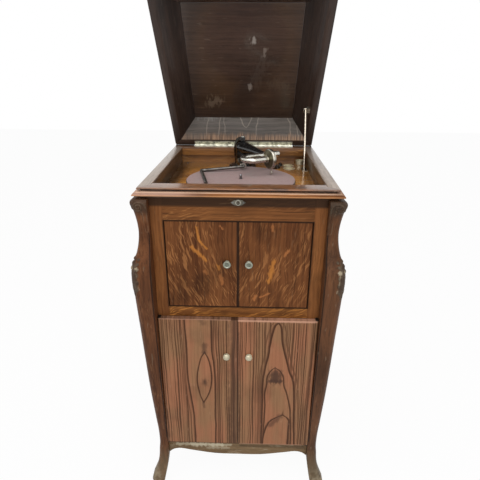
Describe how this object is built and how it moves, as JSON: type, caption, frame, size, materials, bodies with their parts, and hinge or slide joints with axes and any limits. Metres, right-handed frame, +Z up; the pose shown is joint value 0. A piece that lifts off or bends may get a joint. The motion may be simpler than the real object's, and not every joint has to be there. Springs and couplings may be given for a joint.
{
  "type": "cabinet gramophone",
  "caption": "Floor-standing wind-up gramophone in a carved oak cabinet, with a hinged lid, turntable, tonearm, horn behind upper doors and record bays behind lower doors.",
  "frame": {"origin": "centre of the part's footprint on the floor, with the lid open", "axes": "+X to the right seen from the front, +Y to the back, +Z up"},
  "size_m": [0.5286, 0.5992, 1.3933],
  "materials": {
    "dark_oak": "worn dark stained oak",
    "pale_oak": "plain-sawn oak, faded",
    "deck_oak": "glossy honey-coloured oak",
    "lid_oak": "dark polished oak",
    "nickel": "aged nickel plate",
    "steel": "dull steel",
    "brass": "aged brass",
    "black_paint": "black enamel",
    "black_wood": "black lacquer",
    "felt": "dusty felt"
  },
  "bodies": {
    "cabinet": {"front_posts": "dark_oak", "rear_posts": "dark_oak", "front_stiles": "dark_oak", "top_rail": "dark_oak", "middle_rail": "dark_oak", "aprons": "dark_oak", "side_panels": "dark_oak", "back_panel": "dark_oak", "floor_board": "dark_oak", "horn_shelf": "dark_oak", "record_dividers": "dark_oak", "deck_blocks": "dark_oak", "top_moulding": "dark_oak", "top_rim": "dark_oak", "motor_board": "deck_oak", "lid_hinge_case_leaf": "nickel", "lock_plate": "nickel", "lid_lock": "brass", "crank_plate": "brass", "needle_cups": "nickel", "stay_guide": "nickel", "horn_boards": "dark_oak", "horn_elbow": "black_paint", "tonearm_base": "black_paint", "motor_top_plate": "steel", "motor_frame": "black_paint", "motor_bolts": "nickel", "upper_door_pins": "steel", "lower_door_pivots": "steel"},
    "lid": {"lid_rails": "lid_oak", "lid_panel": "lid_oak", "lid_hinge_leaf": "nickel", "stay_bracket": "nickel"},
    "stay": {"stay_rod": "nickel"},
    "upper_left": {"upper_left_door": "dark_oak", "upper_left_knob": "nickel"},
    "upper_right": {"upper_right_door": "dark_oak", "upper_right_knob": "nickel"},
    "lower_left": {"lower_left_door": "pale_oak", "lower_left_knob": "nickel"},
    "lower_right": {"lower_right_door": "pale_oak", "lower_right_knob": "nickel"},
    "platter": {"turntable": "steel", "turntable_felt": "felt", "spindle": "steel"},
    "intermediate": {"intermediate_gear": "brass"},
    "barrel": {"spring_barrel": "brass", "mainspring": "steel"},
    "arbor": {"barrel_arbor": "steel"},
    "governor_unit": {"governor": "steel"},
    "winding": {"winding_shaft": "steel"},
    "arm": {"tonearm": "black_paint"},
    "goose": {"gooseneck": "nickel", "sound_box": "nickel", "needle_bar": "steel"},
    "brake": {"brake_lever": "black_paint"},
    "speed": {"speed_knob": "black_wood"},
    "crank": {"crank_rod": "steel"},
    "handle": {"crank_handle": "black_wood"}
  },
  "joints": [
    {"name": "lid_hinge", "type": "hinge", "parent": "cabinet", "child": "lid", "pos_m": [0, 0.26655, 0.9414], "axis": [-1, 0, 0], "range_deg": [-54.8, 0]},
    {"name": "stay_pivot", "type": "hinge", "parent": "lid", "child": "stay", "pos_m": [0.19767, 0.19301, 1.07064], "axis": [-1, 0, 0], "range_deg": [0, 22.4]},
    {"name": "upper_right_hinge", "type": "hinge", "parent": "cabinet", "child": "upper_right", "pos_m": [0.17425, -0.25844, 0.74], "axis": [0, 0, 1], "range_deg": [0, 95]},
    {"name": "upper_left_hinge", "type": "hinge", "parent": "cabinet", "child": "upper_left", "pos_m": [-0.17425, -0.25844, 0.74], "axis": [0, 0, -1], "range_deg": [0, 95]},
    {"name": "lower_right_hinge", "type": "hinge", "parent": "cabinet", "child": "lower_right", "pos_m": [0.20525, -0.27144, 0.368], "axis": [0, 0, 1], "range_deg": [0, 88]},
    {"name": "lower_left_hinge", "type": "hinge", "parent": "cabinet", "child": "lower_left", "pos_m": [-0.20525, -0.27144, 0.368], "axis": [0, 0, -1], "range_deg": [0, 88]},
    {"name": "turntable_spin", "type": "hinge", "parent": "cabinet", "child": "platter", "pos_m": [0, -0.04444, 0.9], "axis": [0, 0, 1], "continuous": true},
    {"name": "intermediate_spin", "type": "hinge", "parent": "cabinet", "child": "intermediate", "pos_m": [-0.0375, -0.04444, 0.84], "axis": [0, 0, 1], "continuous": true},
    {"name": "barrel_spin", "type": "hinge", "parent": "cabinet", "child": "barrel", "pos_m": [-0.07361, 0.00347, 0.81], "axis": [0, 0, 1], "continuous": true},
    {"name": "governor_spin", "type": "hinge", "parent": "cabinet", "child": "governor_unit", "pos_m": [0.02995, -0.06701, 0.82], "axis": [0, 0, 1], "continuous": true},
    {"name": "winding_turn", "type": "hinge", "parent": "cabinet", "child": "winding", "pos_m": [0.1, 0.04187, 0.855], "axis": [1, 0, 0], "continuous": true},
    {"name": "arbor_turn", "type": "hinge", "parent": "cabinet", "child": "arbor", "pos_m": [-0.07361, 0.00347, 0.85], "axis": [0, 0, 1], "continuous": true},
    {"name": "tonearm_swing", "type": "hinge", "parent": "cabinet", "child": "arm", "pos_m": [0, 0.17056, 0.952], "axis": [0, 0, 1], "range_deg": [-11, 20]},
    {"name": "gooseneck_flip", "type": "hinge", "parent": "arm", "child": "goose", "pos_m": [0.0695, 0.05018, 0.952], "axis": [-0.866, -0.5, 0], "range_deg": [0, 100]},
    {"name": "brake_turn", "type": "hinge", "parent": "cabinet", "child": "brake", "pos_m": [0.113, 0.15155, 0.894], "axis": [0, 0, -1], "range_deg": [0, 20]},
    {"name": "speed_turn", "type": "hinge", "parent": "cabinet", "child": "speed", "pos_m": [0.166, -0.19145, 0.892], "axis": [0, 0, 1], "range_deg": [-60, 60]},
    {"name": "crank_lift", "type": "slide", "parent": "cabinet", "child": "crank", "axis": [0, 0, 1], "range_m": [0, 0.15]},
    {"name": "handle_spin", "type": "hinge", "parent": "crank", "child": "handle", "pos_m": [0.00622, 0.05303, 0.9173], "axis": [-0.1994, 0.9799, 0], "continuous": true}
  ],
  "couplings": [
    {"joint": "stay_pivot", "follows": "lid_hinge", "ratio": -0.40411},
    {"joint": "intermediate_spin", "follows": "turntable_spin", "ratio": -0.25},
    {"joint": "barrel_spin", "follows": "turntable_spin", "ratio": 0.0625},
    {"joint": "governor_spin", "follows": "turntable_spin", "ratio": -4},
    {"joint": "arbor_turn", "follows": "winding_turn", "ratio": 0.033333}
  ]
}
